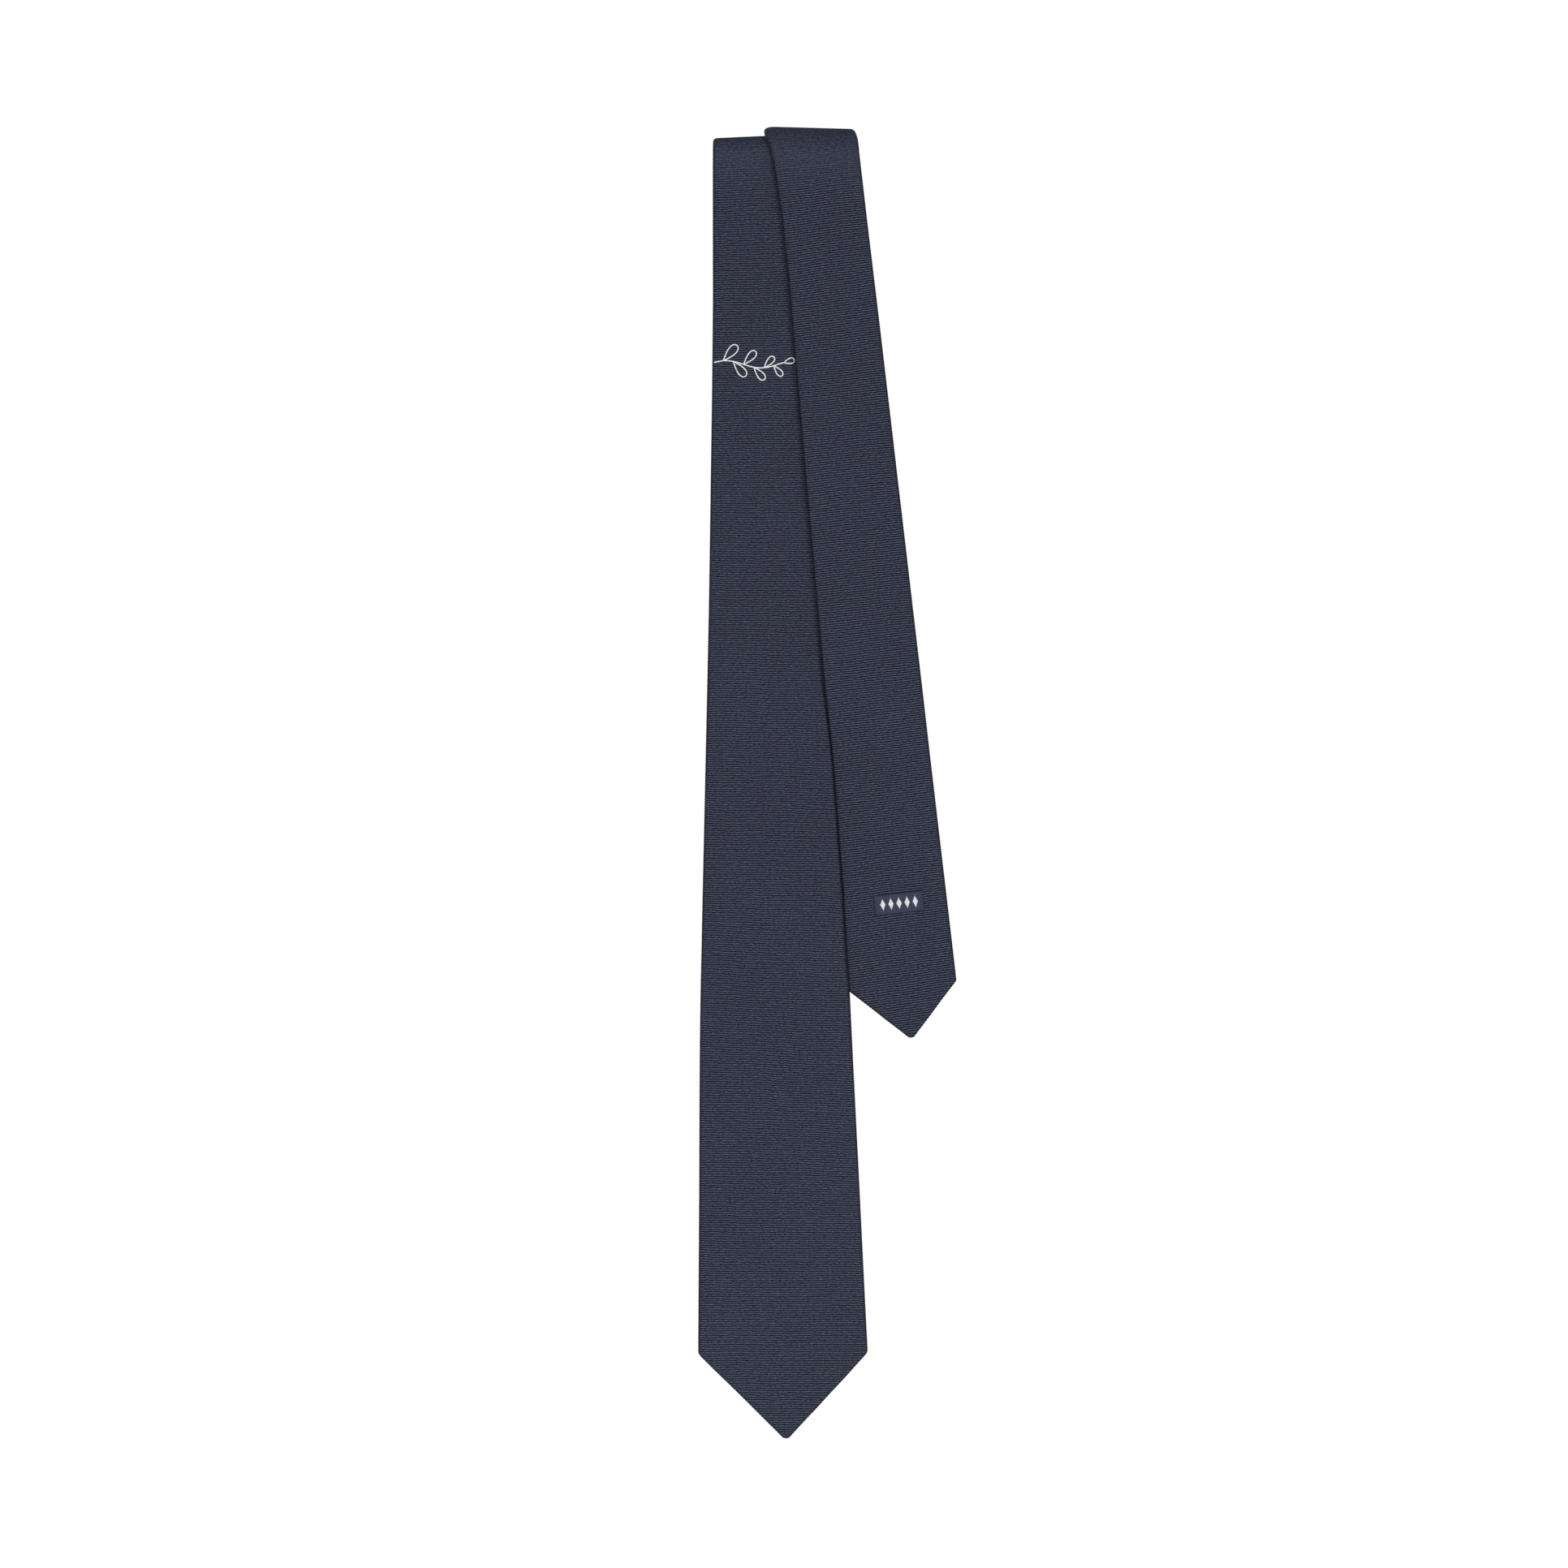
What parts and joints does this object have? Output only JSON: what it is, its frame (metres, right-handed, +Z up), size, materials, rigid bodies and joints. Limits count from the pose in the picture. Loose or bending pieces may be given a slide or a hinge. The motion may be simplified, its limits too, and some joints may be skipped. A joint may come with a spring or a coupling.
{
  "type": "necktie",
  "caption": "Ribbed navy necktie hanging folded at the neck, wide blade and narrow tail in front, neck loop behind, with keeper loop, tippings and interlinings.",
  "frame": {"origin": "on the axis of the thin horizontal rail that the tie hangs over, inside its two folds (the mount neck_rest)", "axes": "+Z up, the front of both hanging legs faces -Y, the blade hangs on the -X side and the tail on the +X side"},
  "size_m": [0.1073, 0.0546, 0.5459],
  "materials": {
    "faille": "ribbed navy faille, fine crosswise ribs, soft silk sheen",
    "tipping": "smooth dark navy satin lining",
    "interlining": "brushed natural wool and cotton canvas",
    "navy_thread": "dark navy sewing silk",
    "woven_label": "indigo damask weave, blank",
    "label_thread": "indigo sewing thread",
    "care_tape": "white satin tape, blank",
    "white_thread": "white embroidery silk"
  },
  "bodies": {
    "neck": {"neck_shell": "faille", "neck_interlining": "interlining", "blade_shell_fold": "faille", "tail_shell_fold": "faille", "blade_interlining_fold": "interlining", "tail_interlining_fold": "interlining", "neck_slip_stitch": "navy_thread"},
    "blade": {"blade_shell": "faille", "blade_interlining": "interlining", "blade_tipping": "tipping", "blade_slip_stitch": "navy_thread", "blade_bar_tack": "navy_thread", "keeper_loop": "faille", "keeper_tack_left": "navy_thread", "keeper_tack_right": "navy_thread", "care_label": "care_tape", "embroidery_motif": "white_thread"},
    "tail": {"tail_shell": "faille", "tail_interlining": "interlining", "tail_tipping": "tipping", "tail_slip_stitch": "navy_thread", "tail_bar_tack": "navy_thread", "tail_label": "woven_label", "label_stitch_left": "label_thread", "label_stitch_right": "label_thread"}
  },
  "joints": [
    {"name": "blade_fold", "type": "hinge", "parent": "neck", "child": "blade", "pos_m": [0, 0, 0], "axis": [-1, 0, 0], "range_deg": [0, 110], "deforming": ["blade_shell_fold", "blade_interlining_fold"]},
    {"name": "tail_fold", "type": "hinge", "parent": "blade", "child": "tail", "pos_m": [0, 0, 0], "axis": [-1, 0, 0], "range_deg": [0, 60], "deforming": ["tail_shell_fold", "tail_interlining_fold"]}
  ]
}
